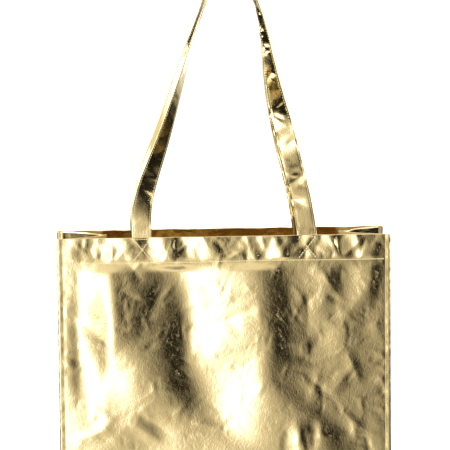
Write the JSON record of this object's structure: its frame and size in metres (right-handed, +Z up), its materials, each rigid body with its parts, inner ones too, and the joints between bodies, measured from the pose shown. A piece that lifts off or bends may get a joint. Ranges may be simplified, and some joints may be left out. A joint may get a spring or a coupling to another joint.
{
  "type": "gift bag",
  "caption": "Laminated cloth gift bag with tucked side gussets, two swinging strap handles, front and back panels that open outwards, and a loose base board.",
  "frame": {"origin": "middle of the underside, on the surface that the bag stands on", "axes": "+Z up, +X along the width, -Y is the front"},
  "size_m": [0.4, 0.1204, 0.651],
  "materials": {
    "laminate": "glossy metallic film on cloth",
    "strap": "glossy metallic film on cloth",
    "thread": "sewing thread",
    "board": "matte"
  },
  "bodies": {
    "base": {"bottom_panel": "laminate", "left_gusset": "laminate", "right_gusset": "laminate", "left_bottom_thread": "thread", "right_bottom_thread": "thread", "front_bottom_thread": "thread", "back_bottom_thread": "thread", "left_gusset_hem_thread": "thread", "right_gusset_hem_thread": "thread"},
    "base_board": {"base_board": "board"},
    "front": {"front_panel": "laminate", "front_handle_ends": "strap", "front_hem_thread": "thread", "front_left_seam_thread": "thread", "front_right_seam_thread": "thread", "front_left_box_stitch": "thread", "front_right_box_stitch": "thread"},
    "front_handle": {"front_handle": "strap", "front_handle_stitching": "thread"},
    "back": {"back_panel": "laminate", "back_handle_ends": "strap", "back_hem_thread": "thread", "back_left_seam_thread": "thread", "back_right_seam_thread": "thread", "back_left_box_stitch": "thread", "back_right_box_stitch": "thread"},
    "back_handle": {"back_handle": "strap", "back_handle_stitching": "thread"}
  },
  "joints": [
    {"name": "front_panel_open", "type": "hinge", "parent": "base", "child": "front", "pos_m": [0, -0.0597, 0.0009], "axis": [1, 0, 0], "range_deg": [0, 5.92], "deforming": ["left_gusset", "right_gusset", "left_gusset_hem_thread", "right_gusset_hem_thread"]},
    {"name": "front_handle_swing", "type": "hinge", "parent": "front", "child": "front_handle", "pos_m": [0, -0.027, 0.32012], "axis": [1, 0, 0], "range_deg": [0, 160]},
    {"name": "back_panel_open", "type": "hinge", "parent": "base", "child": "back", "pos_m": [0, 0.0597, 0.0009], "axis": [-1, 0, 0], "range_deg": [0, 5.92], "deforming": ["left_gusset", "right_gusset", "left_gusset_hem_thread", "right_gusset_hem_thread"]},
    {"name": "back_handle_swing", "type": "hinge", "parent": "back", "child": "back_handle", "pos_m": [0, 0.027, 0.32012], "axis": [-1, 0, 0], "range_deg": [0, 160]},
    {"name": "base_board_lift", "type": "slide", "parent": "base", "child": "base_board", "axis": [0, 0, 1], "range_m": [0, 0.012]}
  ]
}
